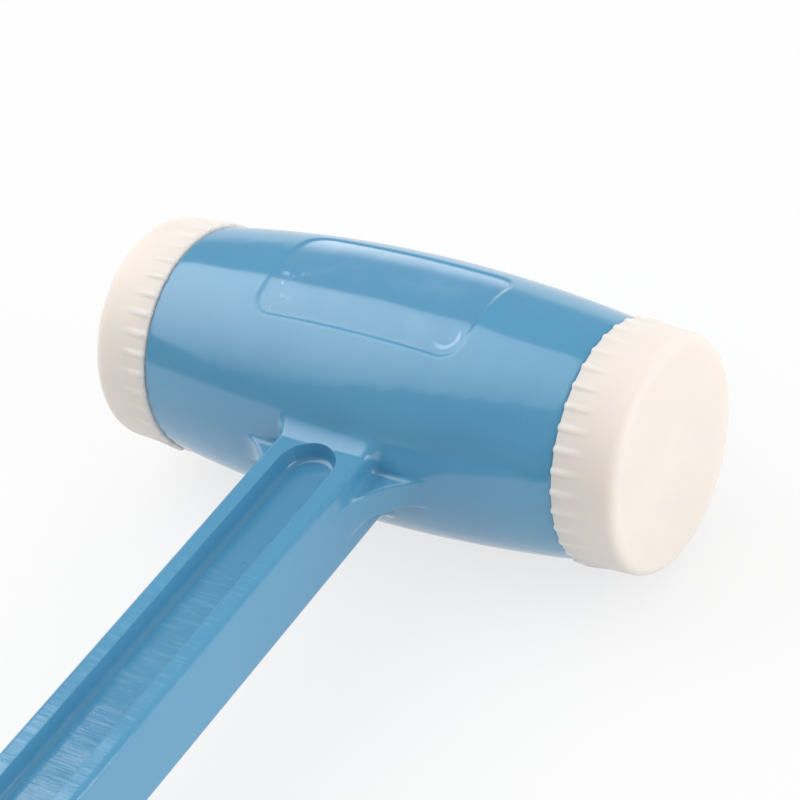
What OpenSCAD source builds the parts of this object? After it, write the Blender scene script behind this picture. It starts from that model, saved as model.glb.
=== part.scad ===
// Dead-blow soft face hammer: a one-piece cast head and handle, two screw-in nylon
// striking faces, and a sealed canister of loose steel shot inside the head.
// Lengths are in millimetres. The hammer lies on its back on the plane z = 0, the head
// runs along X, the handle runs toward -Y and the labelled side faces +Z.

/* [Head] */
// Length of the cast head between its two face seats
head_length = 97.4; // [88:0.2:120]
// Radius of the barrel at the middle of its length
barrel_r = 27.8; // [26.5:0.1:32]
// Fall of the barrel's crown from its middle to the face seats
crown_drop = 3.7; // [2.5:0.1:5]
// Chamfer on the barrel's end edges
barrel_chamfer = 0.6; // [0.2:0.1:1.2]

/* [Label recess] */
// Length of the recess along the head
recess_length = 50; // [36:1:64]
// Width of the recess across the head
recess_width = 27; // [18:1:34]
// Depth of the recess below the barrel's skin
recess_depth = 0.45; // [0.35:0.05:0.8]
// Corner radius of the recess
recess_corner_r = 5; // [3:0.5:8]
// Bare floor left all round the film
film_margin = 1.2; // [0.5:0.1:2.5]
// Thickness of the clear film
film_t = 0.15; // [0.1:0.01:0.25]

/* [Striking faces] */
// Height of the rim from its seat to the striking surface
face_height = 13.4; // [10:0.2:20]
// How far the rim stands out over the barrel's end, between two ribs
rim_overhang = 0.45; // [0:0.05:1]
// Fall of the rim's radius from its seat to the striking edge
rim_taper = 0.4; // [0.1:0.05:1]
// Rounding of the striking edge
rim_edge_r = 2.2; // [1:0.1:4]
// Number of hand-grip ribs round the rim
rib_count = 36; // [24:1:48]
// Rounding radius of a rib
rib_r = 0.75; // [0.5:0.05:1.1]
// Height of a rib above the rim, at the seat
rib_rise = 0.5; // [0.2:0.05:0.8]
// Length over which a rib fades into the rim
rib_length = 7.5; // [5:0.5:9]
// Turn at which the left face comes home, in degrees
left_home_turn = 9; // [0:1:359]
// Turn at which the right face comes home, in degrees
right_home_turn = 4; // [0:1:359]

/* [Screw spigots] */
// Wall of the barrel round a spigot's socket, at the face seat
socket_wall = 4.65; // [3.5:0.05:6]
// Length of the spigot behind the rim
spigot_length = 14; // [11:0.5:17]
// Length of the plain relief between thread and rim
relief_length = 2; // [1:0.5:4]
// Depth of the relief
relief_depth = 1.1; // [0.5:0.1:1.6]
// Lead chamfer on the end of the spigot
spigot_chamfer = 1; // [0.5:0.1:1.5]
// Free room behind the end of the spigot
socket_room = 1.5; // [0.8:0.1:3]

/* [Cushion pads] */
// Width of the spigot's end left round the elastomer pad
pad_border = 7.15; // [4:0.05:10]
// Thickness of the pad
pad_t = 3; // [2:0.25:5]
// How far the pad stands out of the spigot
pad_stand = 1; // [0.5:0.1:1.8]

/* [Shot canister] */
// Step from a socket down to the canister's bore
bore_step = 2.15; // [1.5:0.05:3.5]
// Wall of the canister tube
canister_wall = 1.6; // [1:0.1:2.5]
// Thickness of a cap's flange
cap_flange_t = 2; // [1:0.25:3]
// Length of a cap's plug inside the tube
cap_plug_t = 3; // [2:0.25:5]

/* [Shot] */
// Rings of balls round the middle one of a layer
shot_rings = 2; // [1:1:3]
// Gap between two balls
ball_gap = 0.15; // [0.1:0.05:0.3]
// Share of the chamber's length that the shot takes up
fill_share = 0.78; // [0.5:0.02:0.85]

/* [Handle] */
// Length of the whole hammer, from the top of the barrel to the butt
overall_length = 325; // [290:1:360]
// Width of the handle where it leaves the head
handle_w = 20.8; // [18:0.2:24]
// Width of the handle where it enters the grip
handle_end_w = 20.8; // [17:0.2:22]
// Thickness of the handle
handle_t = 16.5; // [15:0.1:19]
// Rounding of the handle's long edges
handle_edge_r = 1.3; // [0.8:0.1:2]
// Radius of the fillet between handle and barrel
root_fillet_r = 3.2; // [2:0.1:4.5]

/* [Handle channels] */
// Width of the rail left on each side of a channel
rail_w = 4.1; // [3.4:0.1:5]
// Depth of a channel
channel_depth = 3.8; // [2:0.1:5]
// Distance from the barrel's skin to the upper end of a channel
channel_lead = 0.9; // [0.5:0.1:6]
// Distance from the lower end of a channel to the grip
channel_clear = 9; // [4:1:30]
// Draft of a channel's wall, from floor to mouth
channel_draft = 0.4; // [0.1:0.1:0.9]
// Chamfer round a channel's floor
channel_floor_chamfer = 0.9; // [0.3:0.1:1.4]

/* [Gusset webs] */
// Thickness of the webs between the handle's sides and the barrel
web_t = 6.2; // [5:0.2:9]
// Reach of a web along the barrel, from the handle's axis
web_reach = 21.4; // [18:0.2:25]
// Distance from the barrel's skin to the foot of a web on the handle
web_foot_drop = 10.4; // [7:0.2:18]
// Radius of a web's hollow edge
web_arc_r = 20.4; // [16:0.2:30]

/* [Grip] */
// Length of the grip
grip_length = 120; // [100:1:140]
// Width of the grip at its collar
collar_w = 25; // [24:0.5:30]
// Thickness of the grip at its collar
collar_t = 22.6; // [21.5:0.5:27]
// Width of the grip at the palm
palm_w = 29; // [26:0.5:34]
// Thickness of the grip at the palm
palm_t = 24.6; // [22:0.5:30]
// Width of the grip at the waist above its butt
waist_w = 26.6; // [24:0.5:32]
// Thickness of the grip at the waist
waist_t = 23; // [21:0.5:28]
// Width of the grip's butt
butt_w = 31; // [27:0.5:36]
// Thickness of the grip's butt
butt_t = 26; // [23:0.5:32]
// Rounding of the grip's edges along its length
grip_edge_r = 9; // [5:0.5:10]
// Rounding of the grip's closed end
butt_round_r = 4; // [2:0.5:6]
// Number of finger grooves
groove_count = 9; // [5:1:11]
// Distance between two grooves
groove_pitch = 8; // [6:0.5:9]
// Width of a groove
groove_w = 3; // [2:0.25:4.5]
// Depth of a groove
groove_depth = 0.9; // [0.4:0.1:1.5]

/* [Tang] */
// Width of the tang inside the grip
tang_w = 14; // [11:0.5:16]
// Thickness of the tang
tang_t = 11; // [9:0.5:13]
// Rounding of the tang's edges
tang_edge_r = 2; // [1:0.5:4]
// Rubber left beyond the end of the tang
butt_wall = 8; // [5:0.5:14]
// Length of handle that the grip's collar takes in
collar_depth = 6; // [3:0.5:10]

/* [Fits] */
// Gap between a seated rim and the barrel's end
seat_gap = 0.15; // [0.05:0.05:0.3]
// Radial clearance of a spigot in its socket
thread_fit = 0.15; // [0.1:0.05:0.3]
// Clearance round a cushion pad and between pad and cap
pad_fit = 0.15; // [0.1:0.05:0.3]
// Radial clearance of the canister in its bore
canister_fit = 0.1; // [0.05:0.05:0.3]
// Radial clearance of a cap in the canister tube
cap_fit = 0.05; // [0.02:0.01:0.1]
// Clearance between the outer shot and the canister
shot_fit = 0.3; // [0.15:0.05:0.5]
// Clearance of the grip on the tang and the handle
grip_fit = 0.1; // [0.05:0.05:0.2]
// Layer of adhesive under the film
film_seat = 0.08; // [0.05:0.01:0.1]

/* [Hidden] */
$fn = 64;
hull_fn = 32;
crown_fn = 720;
overrun = 1;

// The barrel's crown is one arc through both end edges and the middle
crown_r = (pow(head_length / 2, 2) + pow(crown_drop, 2)) / (2 * crown_drop);
barrel_end_r = barrel_r - crown_drop;

// Radii of the faces and of what the barrel holds, from the barrel's end inward
rim_seat_r = barrel_end_r + rim_overhang;
rim_front_r = rim_seat_r - rim_taper;
socket_r = barrel_end_r - socket_wall;
spigot_r = socket_r - thread_fit;
pad_r = spigot_r - pad_border - pad_fit;
bore_r = socket_r - bore_step;
canister_r = bore_r - canister_fit;
chamber_r = canister_r - canister_wall;

// Distances from the head axis, down the handle
handle_reach = overall_length - barrel_r;
grip_top = handle_reach - grip_length;
handle_stop = grip_top + collar_depth;
channel_start = barrel_r + channel_lead;
channel_stop = grip_top - channel_clear;
web_drop = barrel_r + web_foot_drop;
root_inside = (barrel_r + spigot_r) / 2;

// The row's origin is under the middle of the whole hammer
head_y = (handle_reach - barrel_r) / 2;

// Places along the head, from its middle outward
seat_x = head_length / 2;
rim_x = seat_x + seat_gap;
spigot_end_x = rim_x - spigot_length;
pad_x = spigot_end_x - pad_stand;
cap_x = pad_x - pad_fit;
tube_x = cap_x - cap_flange_t;
chamber_x = tube_x - cap_plug_t;
socket_x = spigot_end_x - socket_room;

// The shot stands in flat layers, each a hexagon of rings that fills the chamber's width
ball_d = (chamber_r - shot_fit - shot_rings * ball_gap) / (shot_rings + 0.5);
shot_pitch = ball_d + ball_gap;
shot_layers = floor(fill_share * 2 * chamber_x / shot_pitch);

// Depth to which the feet of the root fillet and the webs sink into the barrel
root_sink = 0.15;
fillet_steps = 7;

// Steps in one rounded corner and along one straight side of a lofted section
corner_steps = 5;
side_steps = 4;

// Stations of the grip, from its collar to its butt
grip_station_shares = [0, 0.5, 0.84, 0.95];
grip_widths = [collar_w, palm_w, waist_w, butt_w];
grip_thicknesses = [collar_t, palm_t, waist_t, butt_t];
groove_mid_share = 0.46;
groove_floor_share = 0.5;
collar_round_r = 1;
butt_steps = 4;

casting_colour = [0.42, 0.66, 0.78];
nylon_colour = [0.93, 0.90, 0.86];
film_colour = [0.85, 0.92, 0.95, 0.4];
pad_colour = [0.25, 0.25, 0.27];
steel_colour = [0.66, 0.67, 0.69];
rubber_colour = [0.09, 0.09, 0.1];

// Radius of the barrel at a distance along the head
function barrel_at(x) = barrel_r - crown_r + sqrt(crown_r * crown_r - x * x);

// Height of the barrel's handle side at a place across the handle
function underside(x, z) = -sqrt(pow(barrel_at(x), 2) - z * z);

// Half the handle's width at a distance from the head axis
function handle_half_w(d) =
    (handle_w + (handle_end_w - handle_w) * (d - barrel_r) / (grip_top - barrel_r)) / 2;

// One rounded corner of a section, then the rest of the side that follows it
function corner_sign(q) = [[1, 1], [-1, 1], [-1, -1], [1, -1]][q % 4];
function corner_arc(w, t, r, q) = [
    for (i = [0 : corner_steps])
        let (a = 90 * (q + i / corner_steps))
        [corner_sign(q).x * (w - r) + r * cos(a), corner_sign(q).y * (t - r) + r * sin(a)]
];
function side_points(a, b) = [for (i = [1 : side_steps - 1]) a + (b - a) * i / side_steps];

// Points round a rounded rectangle, from its half width, half thickness and corner radius
function section(w, t, r) = [
    for (q = [0 : 3])
        let (arc = corner_arc(w, t, r, q))
        each concat(arc, side_points(arc[corner_steps], corner_arc(w, t, r, q + 1)[0]))
];

// A section laid across the handle at a distance from the head axis
function ring(w, t, r, d) = [for (p = section(w, t, r)) [p.x, -d, p.y]];

// The handle's own section, grown by a clearance
function handle_ring(d, grow) =
    ring(handle_half_w(d) + grow, handle_t / 2 + grow, handle_edge_r + grow, d);

// One turn of the root fillet, from the handle's skin at 0 degrees to the barrel's at 90
function fillet_ring(a) =
    let (grow = root_fillet_r * (1 - cos(a)), drop = root_fillet_r * (1 - sin(a)))
    [
        for (p = section(handle_w / 2 + grow, handle_t / 2 + grow, handle_edge_r + grow))
            [p.x, underside(p.x, p.y) - drop + root_sink, p.y]
    ];

// Where the hollow edge of a web starts on the handle and ends in the barrel
web_foot = [handle_half_w(web_drop) - root_sink, -web_drop];
web_tip = [web_reach, underside(web_reach, web_t / 2) + root_sink];
web_half_chord = norm(web_tip - web_foot) / 2;
web_rise = sqrt(pow(web_arc_r, 2) - pow(web_half_chord, 2));
web_across = [web_tip.y - web_foot.y, web_foot.x - web_tip.x] / (2 * web_half_chord);
web_centre = (web_foot + web_tip) / 2 + web_across * web_rise;

// Value of a station list at a share of the grip's length, eased between stations
function station(shares, sizes, u) =
    let (
        last = len(shares) - 2,
        i = max([0, for (k = [0 : last]) if (u >= shares[k]) k]),
        v = min(1, (u - shares[i]) / (shares[i + 1] - shares[i]))
    )
    sizes[i] + (sizes[i + 1] - sizes[i]) * (1 - cos(180 * v)) / 2;

// The grip's section at a distance below its top, drawn in by an inset
function grip_ring(s, inset) =
    let (u = s / grip_length)
    ring(
        station(grip_station_shares, grip_widths, u) / 2 - inset,
        station(grip_station_shares, grip_thicknesses, u) / 2 - inset,
        grip_edge_r - inset,
        grip_top + s
    );

// Distance of a groove's middle below the top of the grip
function groove_at(i) = groove_mid_share * grip_length + (i - (groove_count - 1) / 2) * groove_pitch;

// A solid skin through a list of rings, closed at both ends by a fan about the ring's middle
module loft(rings) {
    n = len(rings[0]);
    count = len(rings);
    middles = [for (r = [rings[0], rings[count - 1]]) (r[0] + r[n / 2]) / 2];
    sides = [
        for (j = [0 : count - 2], i = [0 : n - 1])
            let (a = j * n + i, b = j * n + (i + 1) % n)
            each [[a, b + n, a + n], [a, b, b + n]]
    ];
    first_end = [for (i = [0 : n - 1]) [count * n, (i + 1) % n, i]];
    last_end = [for (i = [0 : n - 1]) [count * n + 1, (count - 1) * n + i, (count - 1) * n + (i + 1) % n]];
    polyhedron(concat([for (r = rings) each r], middles), concat(sides, first_end, last_end));
}

// A flat rounded rectangle
module rounded_plate(l, w, r) {
    square([l - 2 * r, w], center = true);
    square([l, w - 2 * r], center = true);
    for (sx = [-1, 1], sy = [-1, 1])
        translate([sx * (l / 2 - r), sy * (w / 2 - r)])
            circle(r);
}

// Places the head frame, centred on the head axis, in the row
module in_row() {
    translate([0, head_y, barrel_r])
        children();
}

// Turns a piece built along +Z to one end of the head: 1 for right, -1 for left
module at_end(side) {
    rotate([0, 90 * side, 0])
        children();
}

// The crowned barrel, drawn in by an inset
module barrel(inset) {
    rotate([0, 90, 0])
        rotate_extrude()
            intersection() {
                translate([barrel_r - crown_r, 0])
                    circle(crown_r - inset, $fn = crown_fn);
                polygon([
                    [0, -seat_x],
                    [barrel_end_r - barrel_chamfer, -seat_x],
                    [barrel_r, -seat_x + crown_drop + barrel_chamfer],
                    [barrel_r, seat_x - crown_drop - barrel_chamfer],
                    [barrel_end_r - barrel_chamfer, seat_x],
                    [0, seat_x]
                ]);
            }
}

// The tapered bar of the handle and the fillet that runs it out over the barrel
module handle_bar() {
    outer = root_fillet_r;
    loft(concat(
        [handle_ring(handle_stop, 0)],
        [for (k = [0 : fillet_steps]) fillet_ring(90 * k / fillet_steps)],
        [ring(handle_w / 2 + outer, handle_t / 2 + outer, handle_edge_r + outer, root_inside)]
    ));
}

// Hollow-edged webs in the handle's middle plane
module gusset_webs() {
    linear_extrude(height = web_t, center = true)
        difference() {
            polygon([
                web_foot,
                web_tip,
                [web_tip.x, -root_inside],
                [-web_tip.x, -root_inside],
                [-web_tip.x, web_tip.y],
                [-web_foot.x, web_foot.y]
            ]);
            for (side = [-1, 1])
                translate([side * web_centre.x, web_centre.y])
                    circle(web_arc_r);
        }
}

// One end of a channel cutter: a drafted round pocket with a chamfered floor
module channel_end(d, r) {
    floor_z = handle_t / 2 - channel_depth;
    floor_r = r - channel_draft;
    depth = channel_depth - channel_floor_chamfer;
    slope = channel_draft / depth;
    translate([0, -d, floor_z]) {
        cylinder(
            h = channel_floor_chamfer, r1 = floor_r - channel_floor_chamfer, r2 = floor_r, $fn = hull_fn
        );
        translate([0, 0, channel_floor_chamfer])
            cylinder(h = depth + overrun, r1 = floor_r, r2 = r + slope * overrun, $fn = hull_fn);
    }
}

// The long rounded channel on one side of the handle
module channel() {
    top_r = handle_half_w(channel_start) - rail_w;
    low_r = handle_half_w(channel_stop) - rail_w;
    hull() {
        channel_end(channel_start + top_r, top_r);
        channel_end(channel_stop - low_r, low_r);
    }
}

// The plain tang that carries the grip, grown by a clearance
module tang(grow) {
    length = handle_reach - butt_wall - grip_top + grow;
    translate([0, -grip_top, 0])
        rotate([90, 0, 0])
            linear_extrude(height = length)
                rounded_plate(tang_w + 2 * grow, tang_t + 2 * grow, tang_edge_r + grow);
}

// Through bore for the canister, opened out at both ends for the spigots
module head_bores() {
    rotate([0, 90, 0])
        cylinder(h = 2 * seat_x, r = bore_r, center = true);
    for (side = [-1, 1])
        at_end(side)
            translate([0, 0, socket_x])
                cylinder(h = seat_x - socket_x + overrun, r = socket_r);
}

// The shallow label recess, which follows the barrel's crown
module label_recess() {
    difference() {
        linear_extrude(height = barrel_r + overrun)
            rounded_plate(recess_length, recess_width, recess_corner_r);
        barrel(recess_depth);
    }
}

// The casting: barrel, handle, webs and tang in one piece
module hammer_body() {
    color(casting_colour)
        in_row()
            difference() {
                union() {
                    barrel(0);
                    handle_bar();
                    gusset_webs();
                    tang(0);
                }
                channel();
                mirror([0, 0, 1])
                    channel();
                label_recess();
                head_bores();
            }
}

// Blank clear film on the floor of the recess
module label_film() {
    film_r = recess_corner_r - film_margin;
    color(film_colour)
        in_row()
            intersection() {
                linear_extrude(height = barrel_r)
                    rounded_plate(recess_length - 2 * film_margin, recess_width - 2 * film_margin, film_r);
                difference() {
                    barrel(recess_depth - film_seat - film_t);
                    barrel(recess_depth - film_seat);
                }
            }
}

// One rib: a rounded ridge that dives into the rim as it runs forward
module rim_rib() {
    rim_slope = (rim_seat_r - rim_front_r) / (face_height - rim_edge_r);
    dive = atan(rim_slope + rib_rise / rib_length);
    translate([rim_seat_r + rib_rise - rib_r, 0, rib_r])
        rotate([0, -dive, 0]) {
            sphere(rib_r);
            cylinder(h = rib_length, r = rib_r);
        }
}

// A striking face along +Z, from its seat at z = 0
module striking_face() {
    pocket = pad_t - pad_stand + pad_fit;
    difference() {
        union() {
            rotate_extrude() {
                polygon([
                    [0, 0],
                    [rim_seat_r, 0],
                    [rim_front_r, face_height - rim_edge_r],
                    [0, face_height - rim_edge_r]
                ]);
                square([rim_front_r - rim_edge_r, face_height]);
                translate([rim_front_r - rim_edge_r, face_height - rim_edge_r])
                    circle(rim_edge_r);
                polygon([
                    [0, 0],
                    [spigot_r - relief_depth, 0],
                    [spigot_r - relief_depth, -relief_length],
                    [spigot_r, -relief_length - relief_depth],
                    [spigot_r, spigot_chamfer - spigot_length],
                    [spigot_r - spigot_chamfer, -spigot_length],
                    [0, -spigot_length]
                ]);
            }
            for (i = [0 : rib_count - 1])
                rotate([0, 0, 360 * i / rib_count])
                    rim_rib();
        }
        translate([0, 0, -spigot_length - overrun])
            cylinder(h = pocket + overrun, r = pad_r + pad_fit);
    }
}

// A striking face screwed home in one end of the head
module seated_face(side, home_turn) {
    color(nylon_colour)
        in_row()
            at_end(side)
                translate([0, 0, rim_x])
                    rotate([0, 0, home_turn])
                        striking_face();
}

module left_face() {
    seated_face(-1, left_home_turn);
}

module right_face() {
    seated_face(1, right_home_turn);
}

// The elastomer disc between a spigot and the canister
module cushion_pad(side) {
    color(pad_colour)
        in_row()
            at_end(side)
                translate([0, 0, pad_x])
                    cylinder(h = pad_t, r = pad_r);
}

module left_cushion_pad() {
    cushion_pad(-1);
}

module right_cushion_pad() {
    cushion_pad(1);
}

// The steel tube that keeps the shot off the casting
module shot_canister() {
    color(steel_colour)
        in_row()
            rotate([0, 90, 0])
                difference() {
                    cylinder(h = 2 * tube_x, r = canister_r, center = true);
                    cylinder(h = 2 * tube_x + overrun, r = chamber_r, center = true);
                }
}

// A turned cap: a flange on the tube's end and a plug inside it
module canister_cap(side) {
    color(steel_colour)
        in_row()
            at_end(side) {
                translate([0, 0, tube_x])
                    cylinder(h = cap_flange_t, r = canister_r);
                translate([0, 0, chamber_x])
                    cylinder(h = cap_plug_t, r = chamber_r - cap_fit);
            }
}

module left_canister_cap() {
    canister_cap(-1);
}

module right_canister_cap() {
    canister_cap(1);
}

// The loose charge of shot, in the middle of its travel
module steel_shot() {
    color(steel_colour)
        in_row()
            for (k = [0 : shot_layers - 1], i = [-shot_rings : shot_rings], j = [-shot_rings : shot_rings])
                if (abs(i + j) <= shot_rings)
                    translate([
                        (k - (shot_layers - 1) / 2) * shot_pitch,
                        (i + j / 2) * shot_pitch,
                        j * shot_pitch * sin(60)
                    ])
                        sphere(d = ball_d);
}

// The moulded grip, swelling to the palm and flaring at the butt
module rubber_grip() {
    mouth = groove_floor_share * groove_w / 2;
    butt_s = grip_length - butt_round_r;
    color(rubber_colour)
        in_row()
            difference() {
                loft(concat(
                    [
                        for (k = [0 : butt_steps])
                            let (a = 90 * k / butt_steps)
                            grip_ring(butt_s + butt_round_r * cos(a), butt_round_r * (1 - sin(a)))
                    ],
                    [
                        for (i = [groove_count - 1 : -1 : 0])
                            each [
                                grip_ring(groove_at(i) + groove_w / 2, 0),
                                grip_ring(groove_at(i) + mouth, groove_depth),
                                grip_ring(groove_at(i) - mouth, groove_depth),
                                grip_ring(groove_at(i) - groove_w / 2, 0)
                            ]
                    ],
                    [grip_ring(collar_round_r, 0), grip_ring(0, collar_round_r)]
                ));
                tang(grip_fit);
                loft([
                    handle_ring(handle_stop + grip_fit, grip_fit),
                    handle_ring(grip_top - overrun, grip_fit)
                ]);
            }
}

hammer_body();
label_film();
left_face();
right_face();
left_cushion_pad();
right_cushion_pad();
shot_canister();
left_canister_cap();
right_canister_cap();
steel_shot();
rubber_grip();
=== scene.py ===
"""Looks of a dead-blow soft face hammer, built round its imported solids.

The hammer lies on its back: the head runs along X, the handle toward -Y and the side with the
film faces +Z. Sizes are in metres and follow the solids.
"""

import math

import bmesh
import bpy
import numpy as np
from mathutils import Matrix, Vector


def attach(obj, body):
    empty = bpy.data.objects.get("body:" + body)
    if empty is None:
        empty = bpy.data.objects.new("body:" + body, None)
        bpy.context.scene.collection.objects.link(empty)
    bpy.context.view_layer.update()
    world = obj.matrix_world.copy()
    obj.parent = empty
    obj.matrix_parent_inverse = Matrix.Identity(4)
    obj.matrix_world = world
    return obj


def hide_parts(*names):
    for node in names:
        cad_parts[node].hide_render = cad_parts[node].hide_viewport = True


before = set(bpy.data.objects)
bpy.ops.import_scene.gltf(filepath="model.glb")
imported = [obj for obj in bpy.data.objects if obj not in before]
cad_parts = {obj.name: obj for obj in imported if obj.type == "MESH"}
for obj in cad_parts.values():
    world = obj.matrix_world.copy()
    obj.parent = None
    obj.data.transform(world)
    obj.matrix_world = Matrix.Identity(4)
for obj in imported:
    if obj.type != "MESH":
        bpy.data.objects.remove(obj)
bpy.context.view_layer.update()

MM = 0.001
TURN = 2 * math.pi

# The head, from its middle outward
HEAD = Vector((0, 134.7, 27.8)) * MM
SEAT_X = 48.7 * MM
BARREL_R = 27.8 * MM
BARREL_END_R = 24.1 * MM
BARREL_EDGE_R = 0.7 * MM
BARREL_ROWS = 47
CROWN_R = (SEAT_X ** 2 + (BARREL_R - BARREL_END_R) ** 2) / (2 * (BARREL_R - BARREL_END_R))

# The label recess, which lies above a height over the head axis
RECESS_LENGTH = 50 * MM
RECESS_WIDTH = 27 * MM
RECESS_CORNER_R = 5 * MM
RECESS_DEPTH = 0.45 * MM
RECESS_WALL = 1.5 * MM
RECESS_ABOVE = 15 * MM

# The film in the recess: its bubbles are (across, along, radius) in millimetres
FILM_MARGIN = 1.3 * MM
FILM_T = 0.1 * MM
FILM_LIFT = 0.06 * MM
CORNER_LIFT = 0.3 * MM
CORNER_FROM = 26.5 * MM
CORNER_LENGTH = 9 * MM
BUBBLE_RISE = 0.12 * MM
BUBBLE_SQUEEZE = 1.4
BUBBLES = (
    (-19.6, -3.8, 0.8), (-18.4, -6.4, 1.1), (-17.0, -7.4, 0.7), (-20.4, -1.0, 0.5),
    (-14.8, -8.2, 0.9), (16.8, -8.6, 0.7), (-12.6, -9.4, 0.6),
)

# The handle, down from the head axis
HANDLE_W = 20.8 * MM
HANDLE_T = 16.5 * MM
HANDLE_EDGE_R = 1.3 * MM
HANDLE_STOP = 183.2 * MM
HANDLE_RINGS = 36
TANG_W = 14 * MM
TANG_T = 11 * MM
TANG_EDGE_R = 2 * MM
TANG_STOP = 289.2 * MM

# The root, where handle and webs run out over the barrel
ROOT_FILLET_R = 3.2 * MM
ROOT_SETTLE = 16 * MM
ROOT_REACH = 30 * MM
ROOT_STEP = 0.7 * MM
FILLET_RINGS = 9
SKIRT_RINGS = 12
WEB_T = 6.2 * MM
WEB_EDGE_R = 0.5 * MM
WEB_FILLET_R = 0.9 * MM
WEB_FILLET_SPAN = (18, 40)
WEB_ARC_R = 20.4 * MM
WEB_ARC_X = 29.09 * MM
WEB_ARC_Y = -45.6 * MM
WEB_BLEND = 2.0 * MM
WINDOW_X = 34 * MM
WINDOW_ANGLE = math.radians(44)

# The channels in the handle's front and back
CHANNEL_START = 28.7 * MM
CHANNEL_STOP = 168.2 * MM
CHANNEL_DEPTH = 3.8 * MM
CHANNEL_DRAFT = 0.4 * MM
CHANNEL_FLOOR_R = 1.3 * MM
CHANNEL_W = 12.6 * MM
CHANNEL_END_POINTS = 25

# The threads and the sockets
SOCKET_R = 19.45 * MM
SOCKET_X = 33.35 * MM
BORE_R = 17.3 * MM
THREAD_PITCH = 3 * MM
THREAD_DEPTH = 1.2 * MM
THREAD_ROW = 0.27 * MM
THREAD_FLAT = 0.15
THREAD_FLANK = 0.7

# The screw faces, with the rings of the striking surface down to its middle
RIM_X = 48.76 * MM
STRIKE_X = 62.25 * MM
RIM_SEAT_R = 24.55 * MM
RIM_FRONT_R = 24.15 * MM
RIM_EDGE_R = 2.2 * MM
RIM_ROWS = 22
STRIKE_RINGS = (20.5 * MM, 18 * MM, 14 * MM, 9 * MM, 4 * MM, 0.0)
RIB_COUNT = 36
RIB_STEPS = 18
RIB_RISE = 0.5 * MM
RIB_W = 1.6 * MM
RIB_LENGTH = 7.5 * MM
RIB_FULL = 0.6 * MM
RIB_BEAD = 0.7 * MM
RIB_BEAD_R = 0.75 * MM
SPIGOT_R = 19.3 * MM
SPIGOT_X = 34.85 * MM
SPIGOT_LEAD = 0.3 * MM
SPIGOT_RELIEF = 2.2 * MM
PAD_POCKET_R = 12.15 * MM
PAD_POCKET_X = 37.0 * MM
LEFT_HOME_TURN = math.radians(9)
RIGHT_HOME_TURN = math.radians(4)

# Small rounds of the turned sections, in millimetres from the corner that they soften
SOCKET_MOUTH_ROUND = ((1, 0.9), (0, 0.8), (-0.8, 0))
POCKET_FLOOR_ROUND = ((0, -0.3), (-0.3, 0))
POCKET_MOUTH_ROUND = ((0.3, 0), (0, 0.3))
SPIGOT_END_ROUND = ((0, -0.1), (0.1, 0))
SHOULDER_ROUND = ((-0.4, 0), (-0.1, 0.1), (0, 0.4))
SEAT_ROUND = ((0, -0.9), (0, -0.3), (0.08, -0.08), (0.25, 0))
SEAT_ROUND_X = 0.25 * MM

# The grip, with its widths and thicknesses at shares of its length
GRIP_TOP = 177.2 * MM
BUTT = 297.2 * MM
GRIP_LENGTH = BUTT - GRIP_TOP
GRIP_SHARES = (0, 0.5, 0.84, 0.95)
GRIP_WIDTHS = (25 * MM, 29 * MM, 26.6 * MM, 31 * MM)
GRIP_THICKNESSES = (22.6 * MM, 24.6 * MM, 23 * MM, 26 * MM)
GRIP_EDGE_R = 9 * MM
GRIP_ROW = 0.5 * MM
GRIP_POINTS = 112
GRIP_REACH = 40 * MM
GRIP_FIT = 0.1 * MM
GRIP_MOUTH = 0.3 * MM
BUTT_ROUND_R = 4 * MM
BUTT_INSETS = (9 * MM, 7 * MM, 5.2 * MM)
COLLAR_ROUND_R = 1 * MM
GROOVE_COUNT = 9
GROOVE_PITCH = 8 * MM
GROOVE_W = 3 * MM
GROOVE_DEPTH = 0.9 * MM
GROOVE_MID = 0.46
GROOVE_FLAT = 0.35
GROOVE_WALL = 0.75

# The shot
SHOT_D = 6 * MM
SHOT_PITCH = 6.15 * MM
SHOT_LAYERS = 7
SHOT_RINGS = 2

# Angles, in degrees, past which an edge of a piece is shaded as sharp
CASTING_SHARP = 32
NYLON_SHARP = 40
FILM_SHARP = 40
GRIP_SHARP = 35


# Working by hand: what every piece is modelled with

def clear_selection():
    if bpy.context.mode != "OBJECT":
        bpy.ops.object.mode_set(mode="OBJECT")
    bpy.ops.object.select_all(action="DESELECT")


def select_alone(piece):
    clear_selection()
    piece.select_set(True)
    bpy.context.view_layer.objects.active = piece


def name_piece(name):
    piece = bpy.context.object
    piece.name = name
    piece.data.name = name
    return piece


def settle_piece():
    """Puts the active piece's place, turn and scale into its mesh."""
    bpy.ops.object.transform_apply(location=True, rotation=True, scale=True)


def open_piece(piece):
    select_alone(piece)
    bpy.ops.object.mode_set(mode="EDIT")


def close_piece():
    bpy.ops.object.mode_set(mode="OBJECT")


def face_out():
    bpy.ops.mesh.select_all(action="SELECT")
    bpy.ops.mesh.normals_make_consistent(inside=False)


def pick_faces(piece, rule):
    mesh = bmesh.from_edit_mesh(piece.data)
    bpy.ops.mesh.select_all(action="DESELECT")
    bpy.ops.mesh.select_mode(type="FACE")
    for face in mesh.faces:
        face.select_set(rule(face))
    bmesh.update_edit_mesh(piece.data)


def pick_edges(piece, rule):
    mesh = bmesh.from_edit_mesh(piece.data)
    bpy.ops.mesh.select_all(action="DESELECT")
    bpy.ops.mesh.select_mode(type="EDGE")
    for edge in mesh.edges:
        edge.select_set(rule(edge))
    mesh.select_flush_mode()
    bmesh.update_edit_mesh(piece.data)


def apply_modifier(piece, kind, **settings):
    select_alone(piece)
    modifier = piece.modifiers.new(kind.title(), kind)
    for key, value in settings.items():
        setattr(modifier, key, value)
    bpy.ops.object.modifier_apply(modifier=modifier.name)


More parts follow.
